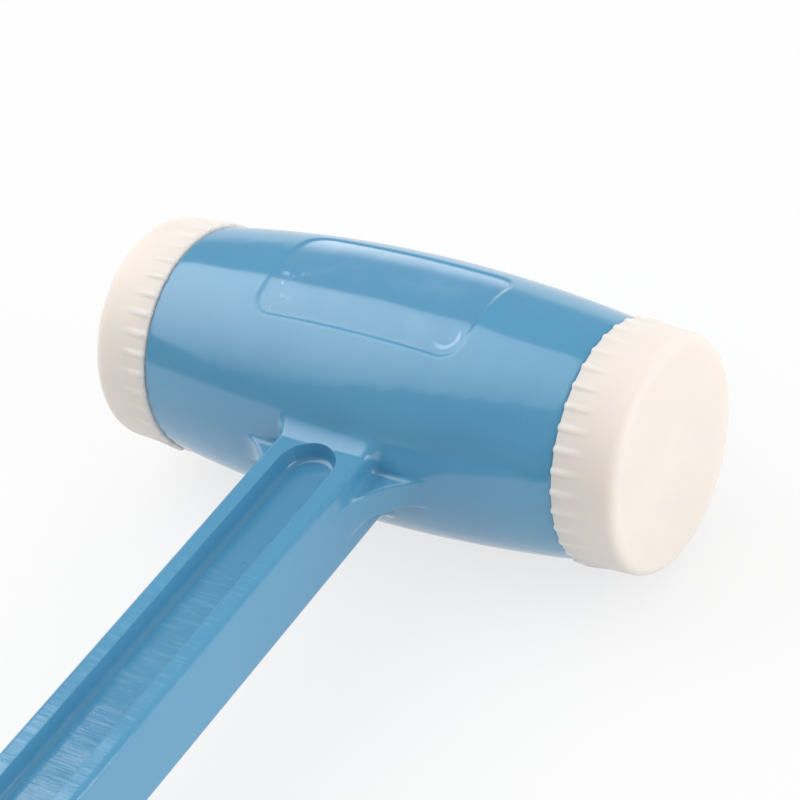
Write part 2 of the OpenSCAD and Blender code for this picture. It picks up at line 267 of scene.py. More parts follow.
def cut_away(piece, cutter):
    apply_modifier(piece, "BOOLEAN", operation="DIFFERENCE", solver="EXACT", object=cutter)
    bpy.data.objects.remove(cutter)


def swell(piece, height, share):
    """Raises a piece's points along their normals, by height times a share from 0 to 1."""
    group = piece.vertex_groups.new(name="swell")
    for point in piece.data.vertices:
        amount = share(point.co - HEAD)
        if amount > 0:
            group.add([point.index], min(amount, 1), "REPLACE")
    apply_modifier(piece, "DISPLACE", strength=height, mid_level=0, vertex_group="swell")
    piece.vertex_groups.clear()


def shade(piece, degrees):
    select_alone(piece)
    bpy.ops.object.shade_smooth_by_angle(angle=math.radians(degrees))


def turn_piece(name, profile, steps):
    """A turned piece: a profile of (place along the head, radius) points, spun round the head axis."""
    clear_selection()
    bpy.ops.mesh.primitive_plane_add(size=MM, location=HEAD)
    piece = name_piece(name)
    settle_piece()
    open_piece(piece)
    bpy.ops.mesh.select_mode(type="VERT")
    bpy.ops.mesh.select_all(action="SELECT")
    bpy.ops.mesh.merge(type="CENTER")
    places = [Vector((x, -r, 0)) for x, r in profile]
    bpy.ops.transform.translate(value=places[0])
    for here, there in zip(places, places[1:]):
        bpy.ops.mesh.extrude_vertices_move(TRANSFORM_OT_translate={"value": there - here})
    bpy.ops.mesh.select_all(action="SELECT")
    bpy.ops.mesh.spin(steps=steps, angle=TURN, center=HEAD, axis=(1, 0, 0))
    bpy.ops.mesh.select_all(action="SELECT")
    bpy.ops.mesh.remove_doubles(threshold=0.002 * MM)
    face_out()
    close_piece()
    return piece


def round_handle(place):
    return math.atan2(place.z, place.x)


def lay_ring(piece, places, order=round_handle):
    """Lays the selected points on places, which come in the same order round the handle."""
    mesh = bmesh.from_edit_mesh(piece.data)
    ring = [point for point in mesh.verts if point.select]
    ring.sort(key=lambda point: order(point.co - HEAD))
    for point, place in zip(ring, places):
        point.co = HEAD + Vector(place)
    bmesh.update_edit_mesh(piece.data)


def draw_ring(piece, places, order=round_handle):
    """Extrudes the selected open edge once, and lays the new ring on places."""
    bpy.ops.mesh.extrude_edges_move(TRANSFORM_OT_translate={"value": (0, 0, 0)})
    lay_ring(piece, places, order)


# Measures that the pieces share

def ease(share):
    share = min(max(share, 0), 1)
    return share * share * (3 - 2 * share)


def quarter(steps, first=0):
    """Angles that go through a quarter turn in even steps."""
    return [k / steps * math.pi / 2 for k in range(first, steps + 1)]


def soften(x, r, offsets):
    """Points of a turned section round one of its corners."""
    return [(x + along * MM, r + out * MM) for along, out in offsets]


def rounded(a, b, r):
    """Distance to the inside corner of two faces, rounded by r."""
    outside = np.hypot(np.maximum(a + r, 0), np.maximum(b + r, 0))
    return outside + np.minimum(np.maximum(a, b) + r, 0) - r


def blended(a, b, width):
    """The nearer of two distances, with a soft join between them."""
    near = np.maximum(width - np.abs(a - b), 0) / width
    return np.minimum(a, b) - near * near * width / 4


def reach_edge(rays, farthest, is_inside):
    """Where rays from the handle's middle cross the edge of a shape, found by halving."""
    near = np.full(len(rays), MM)
    far = np.full(len(rays), farthest)
    for _ in range(50):
        reach = (near + far) / 2
        x = np.cos(rays) * reach
        z = np.sin(rays) * reach
        inside = is_inside(x, z)
        near = np.where(inside, reach, near)
        far = np.where(inside, far, reach)
    return x, z


def section_ring(rays, half_w, half_t, r, d):
    """A rounded rectangle round the handle's axis, at a distance below the head axis."""
    def is_inside(x, z):
        return rounded(np.abs(x) - half_w, np.abs(z) - half_t, r) < 0

    x, z = reach_edge(rays, GRIP_REACH, is_inside)
    return np.stack([x, np.full(len(rays), -d), z], axis=1)


# The casting

def barrel_at(x):
    return BARREL_R - CROWN_R + np.sqrt(CROWN_R ** 2 - x * x)


def underside(x, z):
    return -np.sqrt(np.maximum(barrel_at(x) ** 2 - z * z, MM ** 2))


def handle_distance(x, y, z):
    """Distance from the skin of the handle and its webs, less than 0 inside."""
    bar = rounded(np.abs(x) - HANDLE_W / 2, np.abs(z) - HANDLE_T / 2, HANDLE_EDGE_R)
    hollow = WEB_ARC_R - np.hypot(np.abs(x) - WEB_ARC_X, np.maximum(y - WEB_ARC_Y, 0))
    web = rounded(hollow, np.abs(z) - WEB_T / 2, WEB_EDGE_R)
    return blended(bar, web, WEB_BLEND)


def root_outline(rays, drop):
    """The casting's outline at a drop below the barrel's skin, where the rays cross it."""
    steep = np.degrees(np.arctan2(np.abs(np.sin(rays)), np.abs(np.cos(rays))))
    fillet_r = np.interp(steep, WEB_FILLET_SPAN, (WEB_FILLET_R, ROOT_FILLET_R))
    growth = fillet_r - np.sqrt(fillet_r ** 2 - np.maximum(fillet_r - drop, 0) ** 2)
    follow = 1 - ease((drop - ROOT_FILLET_R) / (ROOT_SETTLE - ROOT_FILLET_R))

    def below(x, z):
        return (underside(x, z) + BARREL_R) * follow - BARREL_R - drop

    def is_inside(x, z):
        return handle_distance(x, below(x, z), z) < growth

    x, z = reach_edge(rays, ROOT_REACH, is_inside)
    return np.stack([x, below(x, z), z], axis=1)


def tang_outline(rays, d):
    return section_ring(rays, TANG_W / 2, TANG_T / 2, TANG_EDGE_R, d)


def barrel_profile():
    edge_x = SEAT_X - BARREL_EDGE_R
    edge_r = float(barrel_at(edge_x)) - BARREL_EDGE_R
    half = [(SEAT_X, 0.0)]
    for a in quarter(4):
        half.append((edge_x + BARREL_EDGE_R * math.cos(a), edge_r + BARREL_EDGE_R * math.sin(a)))
    half += [(k * MM, float(barrel_at(k * MM))) for k in range(BARREL_ROWS, 0, -1)]
    return [(-x, r) for x, r in half] + [(0.0, BARREL_R)] + half[::-1]


def in_window(place):
    angle = math.atan2(place.z, -place.y)
    return abs(place.x) < WINDOW_X and abs(angle) < WINDOW_ANGLE


def lay_on_barrel(casting):
    """Moves the selected points straight out, or in, to the barrel's skin."""
    mesh = bmesh.from_edit_mesh(casting.data)
    for point in mesh.verts:
        if point.select:
            place = point.co - HEAD
            stretch = float(barrel_at(place.x)) / math.hypot(place.y, place.z)
            point.co = HEAD + Vector((place.x, place.y * stretch, place.z * stretch))
    bmesh.update_edit_mesh(casting.data)


def grow_handle(casting):
    """Opens a window under the barrel and draws its edge down through the root to the tang."""
    open_piece(casting)
    pick_faces(casting, lambda face: in_window(face.calc_center_median() - HEAD))
    bpy.ops.mesh.delete(type="FACE")

    def beside_web(edge):
        return edge.is_boundary and all(abs(point.co.x) > WINDOW_X - 0.1 * MM for point in edge.verts)

    pick_edges(casting, beside_web)
    bpy.ops.mesh.subdivide(number_cuts=3)
    lay_on_barrel(casting)
    pick_edges(casting, lambda edge: edge.is_boundary)
    mesh = bmesh.from_edit_mesh(casting.data)
    edge = np.array([point.co - HEAD for point in mesh.verts if point.select])
    rays = np.arctan2(edge[:, 2], edge[:, 0])
    order = np.argsort(rays)
    rays = rays[order]
    edge = edge[order]
    foot = root_outline(rays, 0)
    for share in np.linspace(0, 1, SKIRT_RINGS + 1)[1:]:
        x = edge[:, 0] + (foot[:, 0] - edge[:, 0]) * share
        z = edge[:, 2] + (foot[:, 2] - edge[:, 2]) * share
        draw_ring(casting, np.stack([x, underside(x, z), z], axis=1))
    drops = [ROOT_FILLET_R * (1 - math.sin(a)) for a in quarter(FILLET_RINGS)[-2::-1]]
    drops += list(np.arange(ROOT_FILLET_R + ROOT_STEP, ROOT_SETTLE, ROOT_STEP))
    drops += list(np.linspace(ROOT_SETTLE, HANDLE_STOP - BARREL_R, HANDLE_RINGS))
    for drop in drops:
        draw_ring(casting, root_outline(rays, float(drop)))
    draw_ring(casting, tang_outline(rays, HANDLE_STOP))
    draw_ring(casting, tang_outline(rays, TANG_STOP))
    bpy.ops.mesh.edge_face_add()
    face_out()
    close_piece()


def round_slot(place):
    half_length = (CHANNEL_STOP - CHANNEL_START) / 2
    return math.atan2((place.y + CHANNEL_START + half_length) / half_length, place.x * 2 / CHANNEL_W)


def slot_ring(inset, z):
    """Outline of a channel, drawn in by an inset, at a height above the head axis."""
    places = []
    for d, way in ((CHANNEL_START + CHANNEL_W / 2, 1), (CHANNEL_STOP - CHANNEL_W / 2, -1)):
        r = (CHANNEL_W / 2 - inset) * way
        for k in range(CHANNEL_END_POINTS):
            a = k / (CHANNEL_END_POINTS - 1) * math.pi
            places.append(Vector((r * math.cos(a), r * math.sin(a) - d, z)))
    return sorted(places, key=round_slot)


def channel_cutter():
    """The long rounded slot of one channel, with a drafted wall and a filleted floor."""
    floor_z = HANDLE_T / 2 - CHANNEL_DEPTH
    middle = HEAD - Vector((0, (CHANNEL_START + CHANNEL_STOP) / 2, 0))
    points = 2 * CHANNEL_END_POINTS
    clear_selection()
    bpy.ops.mesh.primitive_circle_add(vertices=points, radius=MM, fill_type="NGON", location=middle)
    cutter = name_piece("channel_cutter")
    settle_piece()
    open_piece(cutter)
    pick_edges(cutter, lambda edge: True)
    lay_ring(cutter, slot_ring(CHANNEL_DRAFT + 2 * CHANNEL_FLOOR_R, floor_z), round_slot)
    for a in quarter(8):
        inset = CHANNEL_DRAFT + CHANNEL_FLOOR_R * (1 - math.sin(a))
        draw_ring(cutter, slot_ring(inset, floor_z + CHANNEL_FLOOR_R * (1 - math.cos(a))), round_slot)
    draw_ring(cutter, slot_ring(-CHANNEL_DRAFT, HANDLE_T / 2 + CHANNEL_DEPTH), round_slot)
    bpy.ops.mesh.edge_face_add()
    face_out()
    close_piece()
    return cutter


def cut_channels(casting):
    cutter = channel_cutter()
    select_alone(cutter)
    bpy.ops.object.duplicate()
    back_cutter = bpy.context.object
    open_piece(back_cutter)
    bpy.ops.mesh.select_all(action="SELECT")
    bpy.ops.transform.rotate(
        value=math.pi, orient_axis="Y", orient_type="GLOBAL", center_override=HEAD
    )
    close_piece()
    cut_away(casting, cutter)
    cut_away(casting, back_cutter)


def thread_wave(place):
    """Height of a right-hand thread on the head axis at a place, from 0 to 1."""
    along = place.x / THREAD_PITCH - math.atan2(place.z, place.y) / TURN
    wave = abs((along % 1) - 0.5) * 2
    return ease((wave - THREAD_FLAT) / THREAD_FLANK)


def socket_cutter():
    """Both threaded sockets and the canister's bore, in one turned cutter."""
    thread_length = SEAT_X - SOCKET_X - 1.2 * MM
    rows = int(round(thread_length / THREAD_ROW))
    half = [(SEAT_X + MM, 0.0)] + soften(SEAT_X, SOCKET_R, SOCKET_MOUTH_ROUND)
    half += [(SEAT_X - MM - thread_length * k / rows, SOCKET_R) for k in range(rows + 1)]
    half += [(SOCKET_X, SOCKET_R), (SOCKET_X, BORE_R)]
    cutter = turn_piece("socket_cutter", [(-x, r) for x, r in half] + half[::-1], 160)

    def female_thread(place):
        if math.hypot(place.y, place.z) <= SOCKET_R - 0.01 * MM:
            return 0
        ends = min(abs(place.x) - SOCKET_X - MM, SEAT_X - MM - abs(place.x))
        return thread_wave(place) * ease(ends / (THREAD_PITCH / 3))

    swell(cutter, -THREAD_DEPTH, female_thread)
    return cutter


def recess_inset(place):
    """How far a place lies inside the edge of the label recess."""
    a = abs(place.x) - RECESS_LENGTH / 2
    b = abs(place.y) - RECESS_WIDTH / 2
    return -float(rounded(a, b, RECESS_CORNER_R))


def sink_recess(casting):
    """Presses the label recess into the barrel, with a soft sloping wall."""
    def near_recess(face):
        place = face.calc_center_median() - HEAD
        return place.z > RECESS_ABOVE and recess_inset(place) > -RECESS_WALL

    def share(place):
        return ease(recess_inset(place) / RECESS_WALL) if place.z > RECESS_ABOVE else 0

    open_piece(casting)
    pick_faces(casting, near_recess)
    bpy.ops.mesh.subdivide(number_cuts=2)
    lay_on_barrel(casting)
    close_piece()
    swell(casting, -RECESS_DEPTH, share)


def even_barrel_shade(casting):
    """Gives the barrel's skin the shading of a clean turned barrel, across the window's patchwork."""
    pattern = turn_piece("barrel_pattern", barrel_profile(), 360)
    shade(pattern, CASTING_SHARP)
    skin = casting.vertex_groups.new(name="barrel_skin")
    for point in casting.data.vertices:
        place = point.co - HEAD
        off = math.hypot(place.y, place.z) - float(barrel_at(min(abs(place.x), SEAT_X)))
        if abs(off) < 0.003 * MM and abs(place.x) < SEAT_X - 2 * BARREL_EDGE_R:
            skin.add([point.index], 1, "REPLACE")
    apply_modifier(
        casting, "DATA_TRANSFER", object=pattern, use_loop_data=True, data_types_loops={"CUSTOM_NORMAL"},
        loop_mapping="POLYINTERP_NEAREST", vertex_group="barrel_skin",
    )
    casting.vertex_groups.clear()
    bpy.data.objects.remove(pattern)


def make_casting():
    casting = turn_piece("cast_hammer", barrel_profile(), 180)
    grow_handle(casting)
    sink_recess(casting)
    cut_away(casting, socket_cutter())
    cut_channels(casting)
    shade(casting, CASTING_SHARP)
    even_barrel_shade(casting)
    return casting


# The nylon faces

def face_profile():
    """Half section of a striking face, from its pad pocket round the spigot and rim to its middle."""
    core_r = SPIGOT_R - THREAD_DEPTH
    thread_x = SPIGOT_X + SPIGOT_LEAD
    thread_length = RIM_X - SPIGOT_RELIEF - thread_x
    rows = int(round(thread_length / THREAD_ROW))
    rim_x = RIM_X + SEAT_ROUND_X
    edge_x = STRIKE_X - RIM_EDGE_R
    points = [(PAD_POCKET_X, 0.0)]
    points += soften(PAD_POCKET_X, PAD_POCKET_R, POCKET_FLOOR_ROUND)
    points += soften(SPIGOT_X, PAD_POCKET_R, POCKET_MOUTH_ROUND)
    points += soften(SPIGOT_X, core_r, SPIGOT_END_ROUND)
    points += [(thread_x + thread_length * k / rows, core_r) for k in range(rows + 1)]
    points += soften(RIM_X, core_r, SHOULDER_ROUND)
    points += soften(RIM_X, RIM_SEAT_R, SEAT_ROUND)
    for k in range(1, RIM_ROWS + 1):
        share = k / RIM_ROWS
        r = RIM_SEAT_R + (RIM_FRONT_R - RIM_SEAT_R) * share
        points.append((rim_x + (edge_x - rim_x) * share, r))
    for a in quarter(9, 1):
        points.append((edge_x + RIM_EDGE_R * math.sin(a), RIM_FRONT_R - RIM_EDGE_R * (1 - math.cos(a))))
    return points + [(STRIKE_X, r) for r in STRIKE_RINGS]


def rib_share(place, side, home_turn):
    """Share of a rib's height at a place on the rim."""
    along = abs(place.x) - RIM_X
    out = math.hypot(place.y, place.z)
    if along < -0.01 * MM or out < RIM_SEAT_R - 1.2 * MM:
        return 0
    turn = math.atan2(place.z, -place.y) + side * home_turn
    step = TURN / RIB_COUNT
    off = ((turn / step + 0.5) % 1 - 0.5) * step * RIM_SEAT_R
    across = max(1 - (abs(off) / (RIB_W / 2)) ** 2, 0) ** 0.8
    fade = 1 - ease((along - RIB_FULL) / (RIB_LENGTH - RIB_FULL))
    bead = math.sqrt(max(1 - (max(RIB_BEAD - along, 0) / RIB_BEAD_R) ** 2, 0))
    return across * fade * bead


def male_thread(place):
    """Share of the thread's depth that stands at a place on a spigot."""
    off_core = math.hypot(place.y, place.z) - SPIGOT_R + THREAD_DEPTH
    if abs(off_core) >= 0.02 * MM or abs(place.x) >= RIM_X - 0.5 * MM:
        return 0
    ends = min(abs(place.x) - SPIGOT_X - SPIGOT_LEAD, RIM_X - 2 * MM - abs(place.x)) / MM
    return (1 - thread_wave(place)) * ease(ends)


def make_face(name, side, home_turn):
    profile = [(side * x, r) for x, r in face_profile()]
    face = turn_piece(name, profile, RIB_COUNT * RIB_STEPS)
    swell(face, THREAD_DEPTH, male_thread)
    swell(face, RIB_RISE, lambda place: rib_share(place, side, home_turn))
    shade(face, NYLON_SHARP)
    return face


# The film in the recess

def film_lift(x, y):
    """How far the film stands off the recess's floor, with its bubbles and its loose corner."""
    lift = FILM_LIFT
    for bx, by, br in BUBBLES:
        away = math.hypot(x / MM - bx, (y / MM - by) * BUBBLE_SQUEEZE) / br
        lift += BUBBLE_RISE * math.exp(-2 * away * away)
    return lift + CORNER_LIFT * ease((x - y - CORNER_FROM) / CORNER_LENGTH)


def make_film():
    """A blank clear film on the recess's floor, with a lifted corner and a few trapped bubbles."""
    length = RECESS_LENGTH - 2 * FILM_MARGIN
    width = RECESS_WIDTH - 2 * FILM_MARGIN
    corner = RECESS_CORNER_R - FILM_MARGIN
    clear_selection()
    bpy.ops.mesh.primitive_grid_add(x_subdivisions=120, y_subdivisions=64, size=1, location=HEAD)
    film = name_piece("clear_label_film")
    film.scale = (length, width, 1)
    settle_piece()
    open_piece(film)
    mesh = bmesh.from_edit_mesh(film.data)
    for point in mesh.verts:
        x = point.co.x - HEAD.x
        y = point.co.y - HEAD.y
        u = abs(x) - (length / 2 - corner)
        v = abs(y) - (width / 2 - corner)
        if u > 0 and v > 0:
            pull = max(u, v) / math.hypot(u, v)
            x = math.copysign(length / 2 - corner + u * pull, x)
            y = math.copysign(width / 2 - corner + v * pull, y)
        floor_r = float(barrel_at(x)) - RECESS_DEPTH + film_lift(x, y)
        point.co = HEAD + Vector((x, y, math.sqrt(floor_r * floor_r - y * y)))
    bmesh.update_edit_mesh(film.data)
    face_out()
    close_piece()
    apply_modifier(film, "SOLIDIFY", thickness=FILM_T, offset=1)
    shade(film, FILM_SHARP)
    return film


# The grip

def station(sizes, share):
    """A size at a share of the grip's length, eased between the sizes on either side."""
    k = max(i for i in range(len(GRIP_SHARES) - 1) if share >= GRIP_SHARES[i] or i == 0)
    part = min(max((share - GRIP_SHARES[k]) / (GRIP_SHARES[k + 1] - GRIP_SHARES[k]), 0), 1)
    return sizes[k] + (sizes[k + 1] - sizes[k]) * (1 - math.cos(math.pi * part)) / 2


def grip_ring(rays, s, inset):
    half_w = station(GRIP_WIDTHS, s / GRIP_LENGTH) / 2 - inset
    half_t = station(GRIP_THICKNESSES, s / GRIP_LENGTH) / 2 - inset
    return section_ring(rays, half_w, half_t, GRIP_EDGE_R - inset, GRIP_TOP + s)


def groove_depth(s):
    depth = 0
    for k in range(GROOVE_COUNT):
        middle = GROOVE_MID * GRIP_LENGTH + (k - (GROOVE_COUNT - 1) / 2) * GROOVE_PITCH
        off = abs(s - middle) / GROOVE_W * 2
        depth = max(depth, 1 - ease((off - GROOVE_FLAT) / GROOVE_WALL))
    return depth * GROOVE_DEPTH


def make_grip():
    """The grip, drawn from its butt up to its collar and then down inside, round handle and tang."""
    butt = HEAD - Vector((0, BUTT, 0))
    clear_selection()
    bpy.ops.mesh.primitive_circle_add(vertices=GRIP_POINTS, radius=MM, location=butt)
    grip = name_piece("moulded_grip")
    grip.rotation_euler = (math.pi / 2, 0, 0)
    settle_piece()
    open_piece(grip)
    bpy.ops.mesh.select_all(action="SELECT")
    mesh = bmesh.from_edit_mesh(grip.data)
    rays = np.sort(np.array([round_handle(point.co - HEAD) for point in mesh.verts]))
    bpy.ops.mesh.edge_face_add()
    pick_edges(grip, lambda edge: True)
    for inset in BUTT_INSETS:
        draw_ring(grip, grip_ring(rays, GRIP_LENGTH, inset))
    for a in quarter(8):
        s = GRIP_LENGTH - BUTT_ROUND_R + BUTT_ROUND_R * math.cos(a)
        draw_ring(grip, grip_ring(rays, s, BUTT_ROUND_R * (1 - math.sin(a))))
    for s in np.arange(GRIP_LENGTH - BUTT_ROUND_R - GRIP_ROW, COLLAR_ROUND_R, -GRIP_ROW):
        draw_ring(grip, grip_ring(rays, float(s), groove_depth(float(s))))
    for a in quarter(5, 1):
        s = COLLAR_ROUND_R * (1 - math.sin(a))
        draw_ring(grip, grip_ring(rays, s, COLLAR_ROUND_R * (1 - math.cos(a))))
    inner_stop = HANDLE_STOP + GRIP_FIT
    for d, grow in ((GRIP_TOP, GRIP_MOUTH), (GRIP_TOP + GRIP_MOUTH, 0), (inner_stop, 0)):
        half_w = HANDLE_W / 2 + GRIP_FIT + grow
        half_t = HANDLE_T / 2 + GRIP_FIT + grow
        draw_ring(grip, section_ring(rays, half_w, half_t, HANDLE_EDGE_R + GRIP_FIT, d))
    for d in (inner_stop, TANG_STOP + GRIP_FIT):
        half_w = TANG_W / 2 + GRIP_FIT
        half_t = TANG_T / 2 + GRIP_FIT
        draw_ring(grip, section_ring(rays, half_w, half_t, TANG_EDGE_R + GRIP_FIT, d))
    bpy.ops.mesh.edge_face_add()
    face_out()
    close_piece()
    shade(grip, GRIP_SHARP)
    return grip


# The shot

def make_shot():
    """Layers of balls, each packed in rings round the head axis."""
    clear_selection()
    bpy.ops.mesh.primitive_ico_sphere_add(subdivisions=2, radius=SHOT_D / 2, location=HEAD)
    ball = name_piece("loose_steel_shot")
    settle_piece()
    bpy.ops.object.shade_smooth()
    rows = range(-SHOT_RINGS, SHOT_RINGS + 1)
    for layer in range(SHOT_LAYERS):
        x = (layer - (SHOT_LAYERS - 1) / 2) * SHOT_PITCH
        for i in rows:
            for j in rows:
                place = Vector((x, (i + j / 2) * SHOT_PITCH, j * SHOT_PITCH * math.sin(math.pi / 3)))
                if abs(i + j) <= SHOT_RINGS and place.length > 0:
                    copy = ball.copy()
                    copy.data = ball.data.copy()
                    copy.location = place
                    bpy.context.scene.collection.objects.link(copy)
                    copy.select_set(True)
    ball.select_set(True)
    bpy.context.view_layer.objects.active = ball
    bpy.ops.object.join()
    return ball


# Finishes

WHITE = (1, 1, 1, 1)
BLACK = (0, 0, 0, 1)

# Where the paint ripples, with a painted highlight in lighter blue along the ripples: on the channel's
# floor and on the rails, lower down the handle
RIPPLE_SHEEN_FLOOR = (4 * MM, 4.6 * MM)
RIPPLE_SHEEN_RAIL_IN = (6.4 * MM, 6.7 * MM)
RIPPLE_SHEEN_RAIL_OUT = (8.9 * MM, 9.5 * MM)
RIPPLE_SHEEN_LOWER = (HEAD.y - 70 * MM, HEAD.y - 54 * MM)

# The film's painted highlight in an arc round its loose corner, and the painted glints over the bubbles
# at its left end
CURL_HIGHLIGHT_R = 2.6 * MM
CURL_HIGHLIGHT_MIDDLE = (-20.2 * MM, -HEAD.y + 8.4 * MM, 0)
CURL_HIGHLIGHT_EDGE = (0.2 * MM, 0.55 * MM)
CURL_HIGHLIGHT_FROM = (28 * MM - HEAD.y, 31 * MM - HEAD.y)
BUBBLE_GLINT_ACROSS = (-17 * MM, -14 * MM)
BUBBLE_GLINT_ALONG = (HEAD.y - 1 * MM, HEAD.y - 3 * MM)


class Value:
    """A socket's value that sums can be written with."""

    def __init__(self, finish, socket):
        self.finish = finish
        self.socket = socket

    def math(self, operation, first, second):
        return self.finish.add("Math", {"operation": operation}, {0: first, 1: second})

    def __add__(self, other):
        return self.math("ADD", self, other)

    def __radd__(self, other):
        return self.math("ADD", other, self)

    def __sub__(self, other):
        return self.math("SUBTRACT", self, other)

    def __rsub__(self, other):
        return self.math("SUBTRACT", other, self)

    def __mul__(self, other):
        return self.math("MULTIPLY", self, other)

    def __rmul__(self, other):
        return self.math("MULTIPLY", other, self)


class Finish:
    """The nodes of a material, or of the world. A node's settings are set first, then its sockets."""

    def __init__(self, owner, output="Material", place="Object"):
        self.owner = owner
        owner.use_nodes = True
        self.tree = owner.node_tree
        self.tree.nodes.clear()
        self.output = self.tree.nodes.new("ShaderNodeOutput" + output)
        self.place = self.add("TexCoord", {}, {}, place)

    def add(self, kind, settings, sockets, result=0):
        node = self.tree.nodes.new("ShaderNode" + kind)
        for key, value in settings.items():
            setattr(node, key, value)
        for key, value in sockets.items():
            self.feed(node.inputs[key], value)
        return Value(self, node.outputs[result])

    def feed(self, socket, value):
        if isinstance(value, Value):
            self.tree.links.new(value.socket, socket)
        else:
            socket.default_value = value

    def part(self, axis):
        return self.add("SeparateXYZ", {}, {"Vector": self.place}, axis)

    def size(self, value):
        return self.add("Math", {"operation": "ABSOLUTE"}, {0: value})

    def length(self, vector):
        return self.add("VectorMath", {"operation": "LENGTH"}, {0: vector}, "Value")

    def noise(self, scale, detail=2.0, roughness=0.5, at=None):
        sockets = {"Vector": at or self.place, "Scale": scale, "Detail": detail, "Roughness": roughness}
        return self.add("TexNoise", {}, sockets, "Fac")

    def moved(self, location=(0, 0, 0), scale=(1, 1, 1)):
        sockets = {"Vector": self.place, "Location": location, "Scale": scale}
        return self.add("Mapping", {"vector_type": "POINT"}, sockets)

    def ramp(self, value, low, high, floor=0.0, ceiling=1.0):
        sockets = {"Value": value, 1: low, 2: high, 3: floor, 4: ceiling}
        return self.add("MapRange", {"interpolation_type": "SMOOTHSTEP"}, sockets)

    def mix(self, share, first, second):
        return self.add("Mix", {"data_type": "RGBA"}, {0: share, 6: first, 7: second}, 2)

    def bump(self, height, distance, strength=1.0, under=None):
        sockets = {"Height": height, "Distance": distance, "Strength": strength}
        if under is not None:
            sockets["Normal"] = under
        return self.add("Bump", {}, sockets)

    def ray(self, kind):
        return self.add("LightPath", {}, {}, f"Is {kind} Ray")

    def surface(self, **sockets):
        named = {key.replace("_", " "): value for key, value in sockets.items()}
        return self.add("BsdfPrincipled", {}, named)

    def finish(self, shader):
        self.tree.links.new(shader.socket, self.output.inputs["Surface"])
        return self.owner


def new_finish(name):
    return Finish(bpy.data.materials.new(name))


def colour(r, g, b):
    """A colour written in 0 to 255, as Blender's linear one."""
    parts = []
    for part in (r, g, b):
        share = part / 255
        parts.append(share / 12.92 if share <= 0.04045 else ((share + 0.055) / 1.055) ** 2.4)
    return (*parts, 1.0)


def blue_enamel():
    f = new_finish("gloss_blue_enamel")
    tone = f.mix(f.ramp(f.noise(28, 2), 0.3, 0.7), colour(80, 149, 188), colour(84, 154, 192))
    specks = f.ramp(f.noise(1300, 0), 0.81, 0.85) * f.ramp(f.noise(45, 1), 0.66, 0.7)
    tone = f.mix(specks * 0.4, tone, colour(40, 74, 98))
    rough = f.ramp(f.noise(900, 2), 0.2, 0.8, 0.1, 0.15)
    soft_edges = f.add("Bevel", {"samples": 4}, {"Radius": 0.4 * MM})
    casting = f.bump(f.noise(130, 1), 0.14 * MM, 1.0, soft_edges)
    off_middle = f.size(f.part("X"))
    rails = f.ramp(off_middle, *RIPPLE_SHEEN_RAIL_IN) * f.ramp(off_middle, *RIPPLE_SHEEN_RAIL_OUT, 1, 0)
    front = f.ramp(off_middle, *RIPPLE_SHEEN_FLOOR, 1, 0) + rails
    lower = f.ramp(f.part("Y"), *RIPPLE_SHEEN_LOWER, 1, 0)
    lines = f.noise(1, 3, 0.6, f.moved(scale=(110, 1000, 110)))
    rippled = f.bump(lines * front * lower, 0.035 * MM, 1.0, casting)
    # Lighter blue along the ripples is a painted highlight, standing in for their sheen
    tone = f.mix(f.ramp(lines, 0.5, 0.72) * front * lower * 0.35, tone, colour(128, 183, 212))
    skin = f.bump(f.noise(330, 2), 0.012 * MM, 0.5, rippled)
    shader = f.surface(
        Base_Color=tone, Roughness=rough, Normal=skin, IOR=1.5, Specular_IOR_Level=1.0,
    )
    return f.finish(shader)


def white_nylon():
    f = new_finish("warm_white_nylon")
    grain = f.noise(1600, 2)
    tone = f.mix(f.ramp(f.noise(45, 2), 0.3, 0.7), colour(236, 227, 219), colour(240, 231, 223))
    rough = f.ramp(grain, 0.2, 0.8, 0.38, 0.5)
    normal = f.bump(grain, 0.012 * MM, 0.5)
    shader = f.surface(
        Base_Color=tone, Roughness=rough, Normal=normal, IOR=1.53, Subsurface_Weight=0.8,
        Subsurface_Radius=(1.0, 0.88, 0.72), Subsurface_Scale=4 * MM,
    )
    return f.finish(shader)


def clear_film():
    f = new_finish("clear_gloss_film")
    across = f.part("X")
    along = f.part("Y")
    from_corner = f.length(f.moved(CURL_HIGHLIGHT_MIDDLE, (1, 1, 0)))
    off_curl = f.size(from_corner - CURL_HIGHLIGHT_R)
    # A painted highlight: a thin whitened arc round the lifted corner
    curl_highlight = f.ramp(off_curl, *CURL_HIGHLIGHT_EDGE, 1, 0) * f.ramp(across - along, *CURL_HIGHLIGHT_FROM)
    left = f.ramp(across, *BUBBLE_GLINT_ACROSS, 1, 0) * f.ramp(along, *BUBBLE_GLINT_ALONG)
    # Painted glints: white flecks over the bubbles at the film's left end
    bubble_glints = f.ramp(f.noise(520, 2), 0.6, 0.68) * left
    # The film's own faint haze, with the painted highlight and the painted glints added to it
    haze_and_highlights = f.ramp(f.noise(140, 2), 0.5, 0.8, 0.01, 0.03) + curl_highlight * 0.1 + bubble_glints * 0.08
    tone = f.mix(haze_and_highlights, BLACK, (0.8, 0.84, 0.88, 1))
    ripple = f.bump(f.noise(210, 1), 0.035 * MM, 0.5)
    rough = f.ramp(f.noise(600, 1), 0.3, 0.7, 0.03, 0.06)
    clear = f.add("BsdfTransparent", {}, {"Color": (0.97, 0.975, 0.98, 1)})
    gloss = f.surface(Base_Color=tone, Roughness=rough, Normal=ripple, IOR=1.12)
    return f.finish(f.add("AddShader", {}, {0: clear, 1: gloss}))


